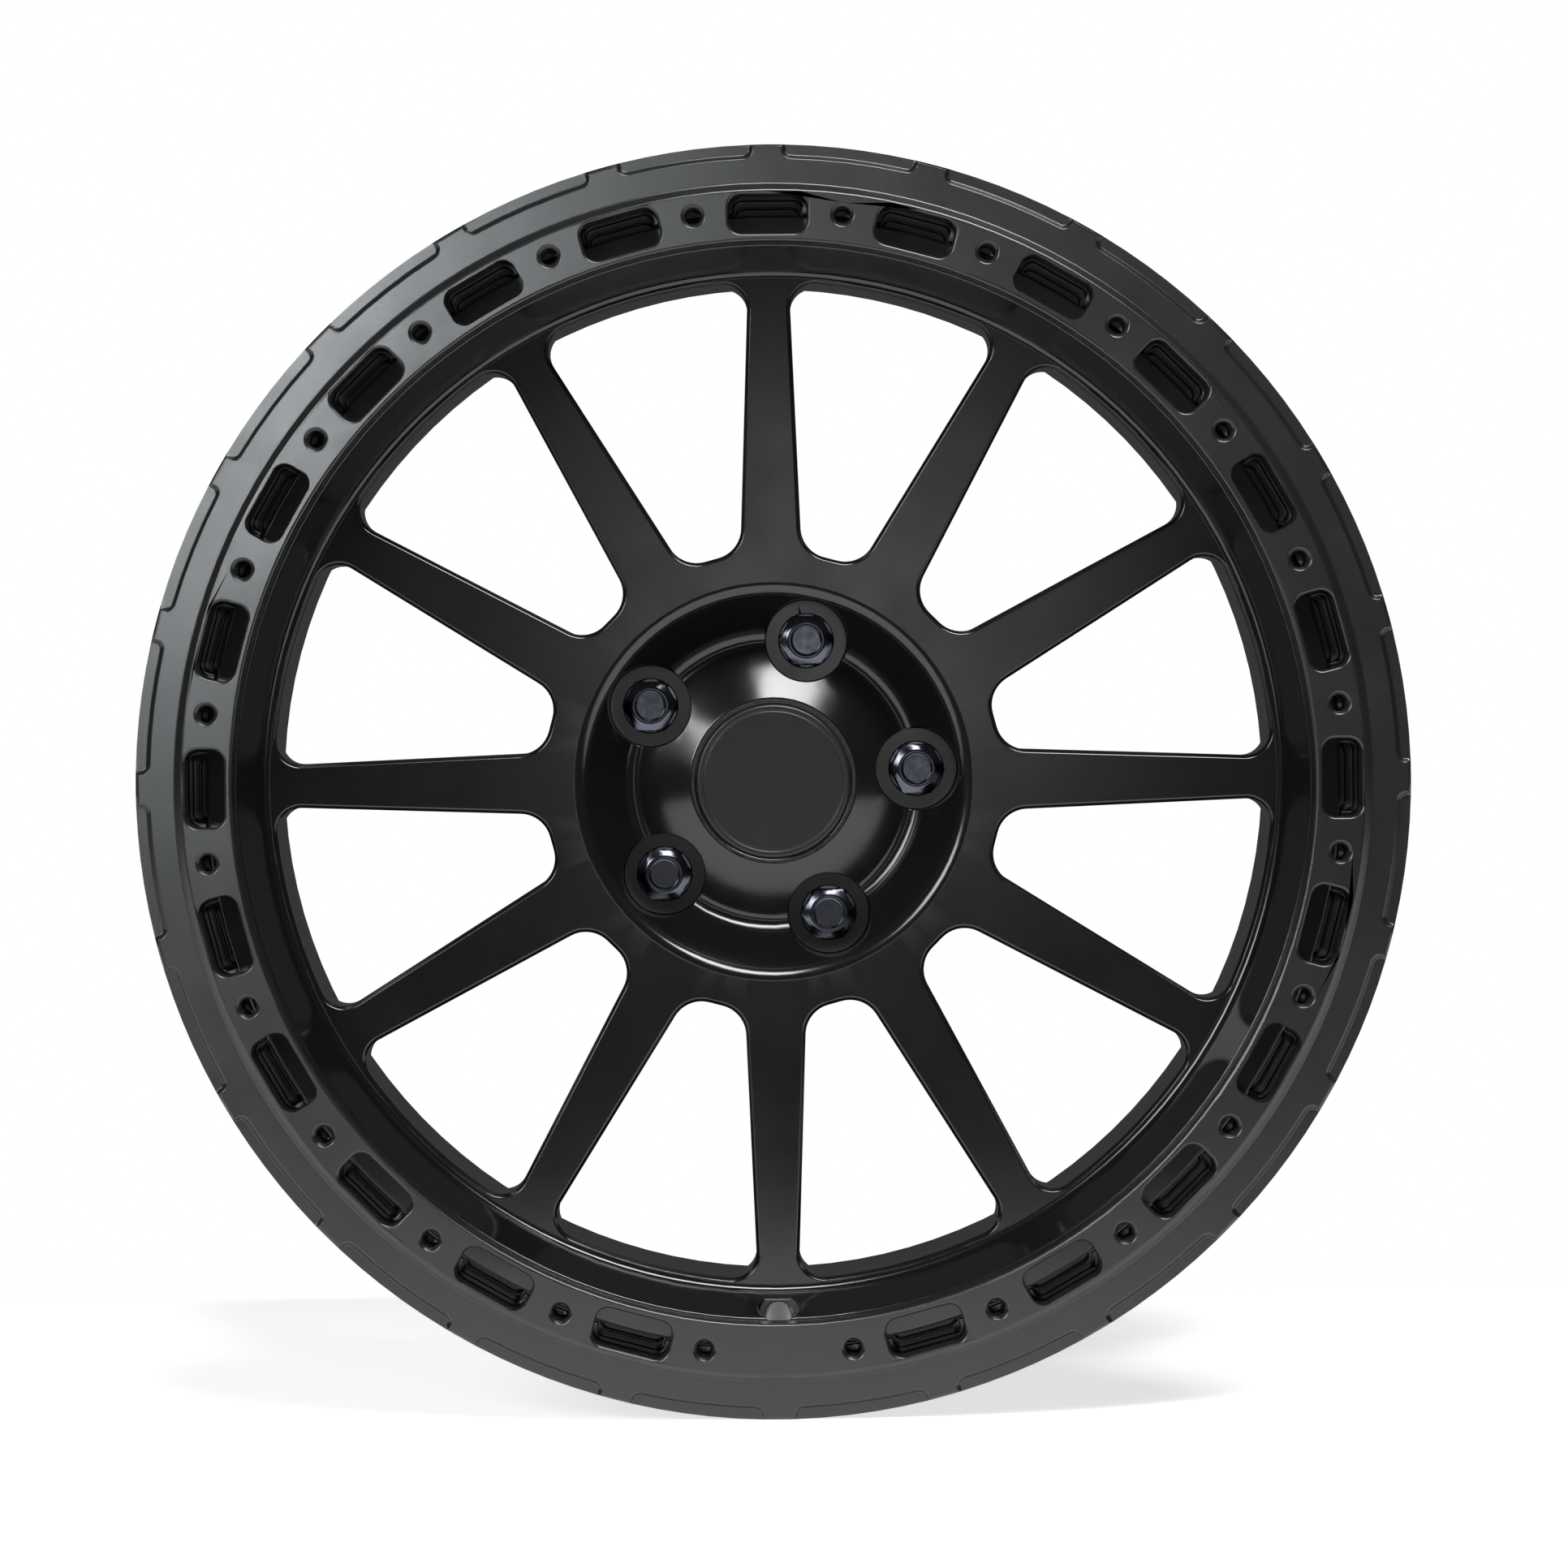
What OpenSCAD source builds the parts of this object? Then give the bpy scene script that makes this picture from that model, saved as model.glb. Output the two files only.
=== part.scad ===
/* [Rim] */
// Diameter over the clamp ring and over the rear flange
outer_d = 547.4; // [536:0.1:560]
// Height of the flanges above the bead seats
flange_h = 17.3; // [16.8:0.1:17.8]
// Width from the ring's front face to the back of the rear flange
overall_w = 256; // [236:1:300]
// Depth of the drop centre below the bead seats
well_drop = 30.4; // [28.4:0.2:32.4]
// Wall of the barrel at the drop centre
barrel_t = 6; // [5:0.5:9]
// Wall of the barrel under the rear bead seat
rear_wall = 8.6; // [8:0.1:13]
// Depth of the drop centre's front corner below the ring face
well_start = 67; // [64:1:76]
// Length of the rise from the drop centre to the rear shelf
rise_w = 48; // [38:1:63]
// Length of the shelf in front of the rear hump
shelf_w = 30; // [20:1:40]
// Width of the rear flange, from its bead face to its back
rear_flange_w = 13; // [11:0.5:16]
// Thickness of the rear flange's upright wall
rear_flange_t = 7; // [5:0.5:9]
// Taper of the bead seats in degrees
seat_taper = 5; // [3:0.5:6]

/* [Clamp seat] */
// Width of the clamp ring, from its bore to its outer edge
ring_w = 41.7; // [40.2:0.1:42.7]
// Thickness of the clamp ring where it sits on the land
ring_t = 15; // [12:0.5:17]
// Width of the bead's shoulder outside the land that the ring sits on
shoulder_w = 12.1; // [10.4:0.1:14.4]
// Height of the land above the bead seat's front edge
land_h = 5; // [3:0.5:7]
// Gap between the ring's back and the land
ring_gap = 0.05; // [0.02:0.01:0.2]
// Depth of the front bead seat, from its edge to the hump
front_seat_w = 20; // [18:0.5:25]

/* [Clamp ring] */
// Number of places round the ring, one of them bare
place_count = 24; // [20:1:26]
// Width of the ring's lip with its sloped step
lip_w = 19.7; // [18.2:0.1:20.2]
// Width of the sloped step
step_w = 3; // [2:0.5:5]
// Depth of the lip's face below the ring's face
step_depth = 3; // [1.5:0.5:4]
// Thickness of the lip
lip_t = 10; // [8:0.5:11]
// Length of a slot along the ring
slot_l = 33.6; // [26:0.2:38]
// Width of a slot across the ring
slot_w = 16.6; // [12:0.2:18]
// Corner radius of a slot
slot_r = 5.4; // [3:0.2:6]
// Distance from the ring's bore to the slots' middles
slot_in = 11.8; // [10:0.1:13]
// Chamfer round the slots
slot_chamfer = 0.9; // [0.4:0.1:1.2]
// Bore of a bolt hole
bolt_hole_d = 7; // [5.5:0.1:8.5]
// Diameter of a bolt hole's countersink
bolt_sink_d = 10; // [9.5:0.1:12]
// Distance from the ring's bore to the bolt holes
bolt_in = 12.9; // [11:0.1:15]
// Width of the pads in the lip's outer edge
pad_w = 6.2; // [5:0.1:10]
// Angle that a pad covers, in degrees
pad_angle = 12.4; // [8:0.1:13]
// Depth of the pads
pad_depth = 2; // [1:0.1:3]
// Width of the pads' sloped border
pad_slope = 1.7; // [0.8:0.1:2.5]
// Corner radius of a pad
pad_r = 4.2; // [3:0.1:5]

/* [Pockets behind the slots] */
// Length of a pocket along the rim
pocket_l = 30; // [22:0.5:34]
// Wall between a pocket and the front bead seat
pocket_wall = 4.4; // [3.9:0.1:6.4]
// Depth of a pocket's ledge below the ring face
pocket_ledge = 36; // [28:0.5:38]
// Depth of a pocket's floor below the ring face
pocket_floor = 44; // [39:0.5:45]
// Width of a pocket's ledge
pocket_ledge_w = 3; // [1.5:0.1:4]
// Corner radius of a pocket
pocket_r = 4; // [2:0.2:4.2]

/* [Spokes] */
// Number of spokes
spoke_count = 12; // [10:1:14]
// Depth of the spokes' front face below the ring face
spoke_depth = 44; // [38:0.5:50]
// Width of a spoke at the hub end of the openings
spoke_w_in = 26.7; // [20:0.1:30]
// Width of a spoke at the rim end of the openings
spoke_w_out = 18; // [15:0.1:24]
// Radius to the hub end of the openings
opening_in_r = 100.3; // [96:0.1:108]
// Step from the drop centre's bore in to the openings
opening_step = 2.5; // [2:0.1:6]
// Corner radius of the openings at the hub
opening_r_in = 13.5; // [8:0.5:15]
// Corner radius of the openings at the rim
opening_r_out = 10.6; // [6:0.2:14]
// Thickness of a spoke at the rim
spoke_t_out = 28; // [24:0.5:36]
// Thickness of a spoke at the hub
spoke_t_in = 42; // [36:0.5:52]
// Distance from the openings to the foot of the lip
lip_foot = 4.4; // [4.4:0.1:6]
// Fillet from the spokes up to the lip
lip_fillet = 3.5; // [2:0.1:3.5]

/* [Hub] */
// Depth of the hub's mounting pad below the ring face
mount_depth = 118; // [112:1:124]
// Outer diameter of the mounting pad
mount_d = 160; // [152:1:166]
// Hub bore
hub_bore_d = 71.6; // [66.6:0.1:74]
// Length of the hub bore
hub_bore_l = 18; // [12:0.5:20]
// Outer diameter of the dish in the hub's front
dish_d = 167; // [164:1:170]
// Depth of the dish's bottom below the ring face
dish_depth = 75; // [70:0.5:78]
// Diameter of the dish's lowest circle
dish_low_d = 127; // [120:1:132]
// Depth of the boss that holds the cap below the ring face
boss_depth = 61; // [56:0.5:66]
// Lug circle
lug_circle_d = 127; // [120.65:0.05:130]
// Number of lug bolts
lug_count = 5; // [4:1:6]
// Diameter of a lug pocket
lug_pocket_d = 36.4; // [32:0.2:38]
// Depth of a lug pocket's floor below the ring face
lug_floor = 88; // [84:0.5:92]
// Diameter of the hole for a lug bolt
lug_hole_d = 15; // [14.5:0.1:16]
// Diameter of the recesses between the lug holes in the mounting pad
relief_d = 22; // [16:0.5:26]
// Depth of those recesses
relief_depth = 14; // [6:0.5:18]

/* [Lug bolts] */
// Width across the flats of the head
hex_w = 21.6; // [19:0.1:24]
// Height of the hexagon
hex_h = 14; // [11:0.5:16]
// Diameter of the thread
thread_d = 14; // [12:0.1:14.2]
// Length of the shank below the cone
shank_l = 44; // [35:0.5:50]
// Diameter of the neck between the cone and the thread
neck_d = 12; // [10:0.1:12.5]
// Diameter of the cone seat
cone_d = 24.6; // [23:0.1:26]
// Full angle of the cone seat
cone_angle = 60; // [50:1:80]
// Thickness of the collar between hexagon and cone
collar_t = 2; // [1:0.1:3]
// Diameter of the flat on top of the head
head_face_d = 16.4; // [14:0.1:18]
// Diameter of the recess in the head
recess_d = 12.4; // [9:0.1:13]
// Depth of the recess in a plain bolt
recess_depth = 0.8; // [0.4:0.1:3]
// Depth of the recess in the locking bolt
lock_depth = 9; // [5:0.5:12]
// Gap between a bolt's cone and its seat
lug_gap = 0.06; // [0.02:0.01:0.2]

/* [Centre cap] */
// Diameter of the cap
cap_d = 67.4; // [64:0.1:70]
// Thickness of the cap's disc
cap_t = 3.8; // [3:0.1:5]
// Height of the cap's face above the boss
cap_proud = 0.2; // [0:0.1:1]
// Bore that the cap's fingers snap into
cap_bore_d = 62; // [58:0.2:63]
// Gap round the cap's disc
cap_gap = 0.5; // [0.3:0.05:0.9]
// Gap round the cap's fingers
finger_gap = 0.35; // [0.2:0.05:0.6]
// Number of fingers
finger_count = 8; // [4:1:10]
// Thickness of a finger
finger_t = 2; // [1.5:0.1:2.6]
// Length of a finger
finger_l = 16; // [13:0.5:19]
// Slot between two fingers
finger_slot = 6; // [3:0.5:9]
// Height of the snap on a finger
snap_h = 1; // [0.5:0.1:1.4]
// Diameter of the spring ring's wire
wire_d = 1.6; // [1.2:0.1:2]
// Gap in the spring ring, in degrees
wire_gap = 30; // [15:1:60]

/* [Valve hole] */
// Diameter of the valve hole
valve_d = 11.5; // [11:0.1:12]
// Diameter of the spot face round the valve hole
valve_face_d = 18; // [15:0.5:20]
// Distance inside the ring's bore at which the valve hole's axis meets the spot face
valve_in = 1; // [0:0.1:1.4]
// Depth of the spot face below the ring face
valve_depth = 32; // [30:0.5:33]
// Lean of the valve hole away from the wheel's axis
valve_lean = 25; // [20:1:30]

/* [Hidden] */
$fn = 96;
satin_black = [0.09, 0.09, 0.1];
dark_chrome = [0.3, 0.31, 0.34];
spring_steel = [0.6, 0.6, 0.62];
over = 1;
outer_r = outer_d / 2;
seat_r = outer_r - flange_h;
well_r = seat_r - well_drop;
bore_r = well_r - barrel_t;
rear_bore_r = seat_r - rear_wall;
land_r = seat_r - shoulder_w;
ring_bore_r = outer_r - ring_w;
land_bore_r = ring_bore_r - 0.8;
step_r = outer_r - lip_w;
slot_circle_r = ring_bore_r + slot_in;
bolt_circle_r = ring_bore_r + bolt_in;
pad_edge_r = outer_r - pad_w;
pocket_wall_r = seat_r - pocket_wall;
opening_out_r = bore_r - opening_step;
valve_r = ring_bore_r - valve_in;
land_depth = ring_t + ring_gap;
nose_depth = land_depth + land_h;
front_seat_end = nose_depth + front_seat_w;
rear_face = overall_w - rear_flange_w;
rear_hump = rear_face - 35;
shelf_start = rear_hump - shelf_w;
well_end = shelf_start - rise_w;
place_pitch = 360 / place_count;
bare_place = round(270 / place_pitch);
slot_places = [for (i = [0 : place_count - 1]) if (i != bare_place) i];
hole_places = [for (i = [0 : place_count - 1]) i + 0.5];
spoke_pitch = 360 / spoke_count;
lug_pitch = 360 / lug_count;
lug_angle = 76.2;
lock_place = 2;
cap_r = cap_d / 2;
cap_seat_r = cap_r + cap_gap;
cap_bore_r = cap_bore_d / 2;
cap_seat_depth = boss_depth + cap_t - cap_proud + 0.1;
finger_r = cap_bore_r - finger_gap;
snap_depth = cap_seat_depth + finger_l - 6;
cone_l = (cone_d / 2 - thread_d / 2) / tan(cone_angle / 2);

// Height of a plane that lies a given depth below the ring's face
function at_depth(d) = overall_w / 2 - d;
function unit(v) = v / norm(v);
function turn(v, a) = [v.x * cos(a) - v.y * sin(a), v.x * sin(a) + v.y * cos(a)];

// Points of the arc that rounds the corner q between the points p and s
function corner_arc(p, q, s, f) =
    let (a = unit(p - q))
    let (b = unit(s - q))
    let (open = acos(max(-1, min(1, a * b))))
    let (cut = min(f / tan(open / 2), 0.49 * norm(p - q), 0.49 * norm(s - q)))
    let (r = cut * tan(open / 2))
    let (c = q + unit(a + b) * r / sin(open / 2))
    let (first = q + a * cut - c)
    let (side = a.x * b.y - a.y * b.x > 0 ? -1 : 1)
    let (sweep = side * (180 - open))
    let (n = max(1, ceil(abs(sweep) / (f < 2 ? 30 : 15))))
    [for (i = [0 : n]) c + turn(first, sweep * i / n)];

// Outline with round corners, from corners given as x, y and fillet
function rounded(corners) =
    let (n = len(corners))
    let (p = [for (k = corners) [k[0], k[1]]])
    [for (i = [0 : n - 1])
        each corners[i][2] > 0
            ? corner_arc(p[(i + n - 1) % n], p[i], p[(i + 1) % n], corners[i][2])
            : [p[i]]];

// Turned solid whose section is given as corners of radius, depth and fillet
module turned(corners) {
    rotate_extrude($fn = 180)
        polygon(rounded([for (k = corners) [k[0], at_depth(k[1]), k[2]]]));
}

// Cylinder between two depths
module bore(r, from, to) {
    translate([0, 0, at_depth(to)])
        cylinder(h = to - from, r = r);
}

// Cone between two depths, with its radius at each
module cone(r_from, from, r_to, to) {
    translate([0, 0, at_depth(to)])
        cylinder(h = to - from, r1 = r_to, r2 = r_from);
}

module plate(from, to) {
    translate([0, 0, at_depth(to)])
        linear_extrude(to - from)
            children();
}

// The wheel stands up: its axis lies along Y with the street side towards -Y
module standing() {
    rotate([90, 0, 0])
        children();
}

// Front: hub boss, dish, spoke face, lip and land
function front_corners() = [
    [cap_seat_r, boss_depth, 0.7],
    [cap_seat_r + 2.4, boss_depth, 2],
    [dish_low_d / 2, dish_depth, 6],
    [dish_d / 2, spoke_depth, 7],
    [opening_out_r + lip_foot, spoke_depth, lip_fillet],
    [land_bore_r, land_depth, 1],
    [land_r, land_depth, 1.2],
    [land_r, nose_depth, 1.5]];

// Outside: bead seats, humps, drop centre and rear flange
function outer_corners() = [
    [seat_r, nose_depth, 1.5],
    [seat_r - front_seat_w * tan(seat_taper), front_seat_end, 2],
    [seat_r - 0.5, front_seat_end + 4.5, 2],
    [seat_r - 3, front_seat_end + 9, 3],
    [well_r, well_start, 8],
    [well_r, well_end, 10],
    [seat_r - 4.6, shelf_start, 8],
    [seat_r - 2.8, rear_hump, 3],
    [seat_r - 0.4, rear_face - 30, 2.5],
    [seat_r - 24 * tan(seat_taper), rear_face - 24, 2],
    [seat_r, rear_face, 3.5],
    [outer_r - 7.2, rear_face, 7],
    [outer_r, rear_face + 6.5, 3],
    [outer_r, overall_w, 3],
    [outer_r - 7.2, overall_w, 2],
    [outer_r - 10.7, rear_face + rear_flange_t, 5],
    [rear_bore_r + 1.3, rear_face + rear_flange_t, 7]];

// Inside: barrel, backs of the spokes, mounting pad and centre bore
function inner_corners() = [
    [rear_bore_r, rear_hump - 3, 6],
    [rear_bore_r - 1.7, shelf_start + 3, 8],
    [bore_r, well_end + 3, 12],
    [bore_r, spoke_depth + spoke_t_out + 8, 7],
    [opening_out_r - 9.5, spoke_depth + spoke_t_out, 10],
    [opening_in_r + 5.7, spoke_depth + spoke_t_in, 14],
    [mount_d / 2 + 8, spoke_depth + spoke_t_in + 6, 9],
    [mount_d / 2, mount_depth, 2],
    [hub_bore_d / 2 + 1.2, mount_depth, 0],
    [hub_bore_d / 2, mount_depth - 1.2, 0],
    [hub_bore_d / 2, mount_depth - hub_bore_l, 0.6],
    [cap_bore_r, mount_depth - hub_bore_l, 0.8],
    [cap_bore_r, snap_depth + 7, 0],
    [cap_bore_r + snap_h + 0.4, snap_depth + 6, 0],
    [cap_bore_r + snap_h + 0.4, snap_depth - 1, 0],
    [cap_bore_r, snap_depth - 2, 0],
    [cap_bore_r, cap_seat_depth, 0.3],
    [cap_seat_r, cap_seat_depth, 0.2]];

// Half the width of the opening is side_p + side_q * x, x along its middle line
spoke_slope = (spoke_w_out - spoke_w_in) / 2 / (opening_out_r - opening_in_r);
edge_in = turn([opening_in_r, spoke_w_in / 2], -spoke_pitch / 2);
edge_dir = turn([1, spoke_slope], -spoke_pitch / 2);
side_q = -edge_dir.y / edge_dir.x;
side_p = -edge_in.y - side_q * edge_in.x;
side_k = sqrt(1 + side_q * side_q);

// Middle of a corner circle near the hub
function corner_in(r) =
    let (x = opening_in_r + r)
    [x, r * side_k - side_p - side_q * x];

// Middle of a corner circle near the rim: it touches the side and the end arc
function corner_out(r) =
    let (k = r * side_k - side_p)
    let (reach = opening_out_r - r)
    let (root = sqrt(pow(k * side_q, 2) - side_k * side_k * (k * k - reach * reach)))
    let (x = (k * side_q + root) / (side_k * side_k))
    [x, k - side_q * x];

module both_sides() {
    children();
    mirror([0, 1, 0])
        children();
}

// Bar that starts at a point, lies along a direction and has its section to its left and upwards
module sloped_bar(start, angle, length, section) {
    translate([start.x, start.y, 0])
        rotate([90, 0, angle + 90])
            linear_extrude(length)
                polygon(section);
}

// Arc of a section about the axis, centred on the X direction
module sloped_arc(r, angle, section) {
    rotate(-angle / 2)
        rotate_extrude(angle = angle, $fn = 180)
            translate([r, 0])
                polygon(section);
}

module at_openings() {
    for (i = [0 : spoke_count - 1])
        rotate((i + 0.5) * spoke_pitch)
            children();
}

// Opening between two spokes: straight sides, an arc at the rim, four round corners
module openings() {
    ci = corner_in(opening_r_in);
    co = corner_out(opening_r_out);
    away = [side_q, 1] / side_k;
    half = [
        [opening_in_r, ci.y],
        ci - away * opening_r_in,
        co - away * opening_r_out,
        unit(co) * opening_out_r,
        unit(co) * (opening_out_r + 10)];
    plate(spoke_depth - 20, spoke_depth + spoke_t_in + 20) {
        intersection() {
            at_openings()
                polygon(concat(half, [for (i = [4 : -1 : 0]) [half[i].x, -half[i].y]]));
            circle(opening_out_r, $fn = 180);
        }
        at_openings()
            both_sides() {
                translate(ci)
                    circle(opening_r_in);
                translate(co)
                    circle(opening_r_out);
            }
    }
}

// Rectangle with round corners about a middle point
module round_rect(x, l_x, l_y, r) {
    translate([x, 0]) {
        square([l_x - 2 * r, l_y], center = true);
        square([l_x, l_y - 2 * r], center = true);
        for (i = [-1, 1], j = [-1, 1])
            translate([i * (l_x / 2 - r), j * (l_y / 2 - r)])
                circle(r);
    }
}

module at_places(places) {
    for (i = places)
        rotate(i * place_pitch)
            children();
}

// Hollow behind each slot, from the land out to a wall
module pocket_hollow(from, to, wall, l) {
    inside = land_r - pocket_r - 1;
    plate(from, to)
        difference() {
            at_places(slot_places)
                round_rect((wall + inside) / 2, wall - inside, l, pocket_r);
            circle(land_r, $fn = 180);
        }
}

// Pocket behind each slot: a deep floor with a ledge along its outer wall and its ends
module rim_pockets() {
    pocket_hollow(nose_depth - over, pocket_ledge, pocket_wall_r, pocket_l);
    pocket_hollow(pocket_ledge - over, pocket_floor, pocket_wall_r - pocket_ledge_w, pocket_l - 2);
}

module at_lugs(places) {
    for (i = places)
        rotate(lug_angle + i * lug_pitch)
            translate([lug_circle_d / 2, 0])
                children();
}

module lug_seat() {
    seat = cone_d / 2 + 0.3;
    narrow = lug_hole_d / 2;
    bore(lug_pocket_d / 2, spoke_depth - over, lug_floor);
    cone(seat, lug_floor, narrow, lug_floor + (seat - narrow) / tan(cone_angle / 2));
    bore(narrow, lug_floor, mount_depth + over);
}

module lug_seats() {
    at_lugs([0 : lug_count - 1])
        lug_seat();
    rotate(lug_pitch / 2)
        at_lugs([0 : lug_count - 1])
            bore(relief_d / 2, mount_depth - relief_depth, mount_depth + over);
}

// Spot face on the lip and the valve hole through to the drop centre
module valve_hole() {
    rotate(-90)
        translate([valve_r, 0, at_depth(valve_depth)])
            rotate([0, -valve_lean, 0]) {
                cylinder(h = valve_depth, d = valve_face_d);
                translate([0, 0, -2 * valve_depth])
                    cylinder(h = 2 * valve_depth + over, d = valve_d);
            }
}

module wheel_body() {
    color(satin_black)
        standing()
            difference() {
                turned(concat(front_corners(), outer_corners(), inner_corners()));
                openings();
                rim_pockets();
                lug_seats();
                valve_hole();
            }
}

// Section of the clamp ring
function ring_corners() = [
    [ring_bore_r, ring_t, 0.6],
    [ring_bore_r, 0, 1.7],
    [step_r, 0, 1.6],
    [step_r + step_w, step_depth, 1.2],
    [outer_r, step_depth, 1.8],
    [outer_r, step_depth + lip_t, 3],
    [seat_r + 3, ring_t, 4]];

// Slot with walls square to the face and a chamfer at the front
module slot() {
    x = slot_circle_r;
    plate(-over, ring_t + over)
        round_rect(x, slot_w, slot_l, slot_r);
    for (i = [-1, 1], j = [-1, 1])
        translate([x + i * (slot_w / 2 - slot_r), j * (slot_l / 2 - slot_r)])
            cone(slot_r + slot_chamfer, 0, slot_r, slot_chamfer);
    translate([x, 0])
        slot_bevel(slot_w, slot_l - 2 * slot_r);
    translate([x, 0])
        rotate(90)
            slot_bevel(slot_l, slot_w - 2 * slot_r);
}

// Chamfer along two facing sides of a slot, a bar with sloped flanks
module slot_bevel(across, along) {
    rotate([90, 0, 0])
        translate([0, at_depth(0), -along / 2])
            linear_extrude(along)
                polygon([
                    [-across / 2, -slot_chamfer],
                    [across / 2, -slot_chamfer],
                    [across / 2 + slot_chamfer, 0],
                    [-across / 2 - slot_chamfer, 0]]);
}

module ring_hole() {
    sink = (bolt_sink_d - bolt_hole_d) / 2;
    translate([bolt_circle_r, 0]) {
        bore(bolt_hole_d / 2, -over, ring_t + over);
        cone(bolt_sink_d / 2 + over, -over, bolt_hole_d / 2, sink);
    }
}

// Pad let into the lip's outer edge: a sloped border with two round corners
module lip_pad() {
    rise = pad_depth + over;
    slope = pad_slope / pad_depth;
    wide = rise * slope;
    low_r = pad_r - pad_slope;
    corner = pad_edge_r + pad_r;
    half = pad_angle / 2 - asin(pad_r / corner);
    across = pad_w + over;
    translate([0, 0, at_depth(step_depth + pad_depth)]) {
        sloped_arc(pad_edge_r + pad_slope, 2 * half, [[0, 0], [across, 0], [across, rise], [-wide, rise]]);
        both_sides()
            rotate(half) {
                translate([corner, 0])
                    cylinder(h = rise, r1 = low_r, r2 = low_r + wide);
                sloped_bar([corner, low_r], 0, across, [[-2 * low_r, 0], [0, 0], [wide, rise], [-2 * low_r, rise]]);
            }
    }
}

module beadlock_ring() {
    color(satin_black)
        standing()
            difference() {
                turned(ring_corners());
                at_places(slot_places)
                    slot();
                at_places(hole_places)
                    ring_hole();
                at_places(hole_places)
                    lip_pad();
            }
}

// Disc with a rounded edge, a fine groove, and a ring of snap fingers
module centre_cap() {
    face = boss_depth - cap_proud;
    under = face + cap_t;
    tip = cap_seat_depth + finger_l;
    color(satin_black)
        standing() {
            turned([
                [0, face, 0],
                [cap_r - 3.2, face, 0],
                [cap_r - 2.9, face + 0.4, 0],
                [cap_r - 2.6, face, 0],
                [cap_r, face, 1.2],
                [cap_r, under, 0.4],
                [finger_r - finger_t, under, 0],
                [0, under, 0]]);
            difference() {
                turned([
                    [finger_r - finger_t, under - over, 0],
                    [finger_r, under - over, 0],
                    [finger_r, snap_depth, 0],
                    [finger_r + snap_h, snap_depth + 1.4, 0.3],
                    [finger_r + snap_h, snap_depth + 2.6, 0.3],
                    [finger_r - 0.5, tip, 0.3],
                    [finger_r - finger_t, tip, 0.3],
                    [finger_r - finger_t, snap_depth + wire_d / 2, 0],
                    [finger_r - finger_t + wire_d / 4, snap_depth, 0],
                    [finger_r - finger_t, snap_depth - wire_d / 2, 0]]);
                for (i = [0 : finger_count - 1])
                    rotate(i * 360 / finger_count)
                        translate([0, -finger_slot / 2, at_depth(tip + over)])
                            cube([cap_r, finger_slot, tip - under]);
            }
        }
}

// Open ring of wire that spreads the cap's fingers
module cap_spring_ring() {
    color(spring_steel)
        standing()
            translate([0, 0, at_depth(snap_depth)])
                rotate(-90 + wire_gap / 2)
                    rotate_extrude(angle = 360 - wire_gap, $fn = 120)
                        translate([finger_r - finger_t - wire_d / 2, 0])
                            circle(d = wire_d, $fn = 24);
}

// Lug bolt: hexagon with a coned top, collar, cone seat and shank
module lug_bolt(recess) {
    seat = lug_floor - lug_gap;
    top = seat - collar_t - hex_h;
    tip = seat + cone_l + shank_l;
    neck_step = (thread_d - neck_d) / 2;
    thread_start = mount_depth + 1;
    slope = 2;
    difference() {
        union() {
            intersection() {
                plate(top, seat - collar_t / 2)
                    circle(hex_w / 2 / cos(30), $fn = 6);
                cone(head_face_d / 2, top, head_face_d / 2 + slope * (hex_h + collar_t), seat);
            }
            turned([
                [0, seat - collar_t, 0],
                [cone_d / 2, seat - collar_t, 0.5],
                [cone_d / 2, seat, 0],
                [thread_d / 2, seat + cone_l, 0],
                [neck_d / 2, seat + cone_l + neck_step, 0],
                [neck_d / 2, thread_start - neck_step, 0],
                [thread_d / 2, thread_start, 0],
                [thread_d / 2, tip - 1.5, 0],
                [thread_d / 2 - 1.5, tip, 0],
                [0, tip, 0]]);
        }
        bore(recess_d / 2, top - over, top + recess);
    }
}

module lug_bolts() {
    color(dark_chrome)
        standing()
            at_lugs([for (i = [0 : lug_count - 1]) if (i != lock_place) i])
                lug_bolt(recess_depth);
}

module lock_bolt() {
    color(dark_chrome)
        standing()
            at_lugs([lock_place])
                lug_bolt(lock_depth);
}

wheel_body();
beadlock_ring();
centre_cap();
cap_spring_ring();
lug_bolts();
lock_bolt();
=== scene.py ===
"""Black beadlock wheel in a pale studio: finish of each piece, softened edges, threaded bolts."""

import math

import bmesh
import bpy
import numpy as np
from bpy.props import FloatProperty, FloatVectorProperty, IntProperty, PointerProperty
from mathutils import Matrix, Vector


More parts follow.
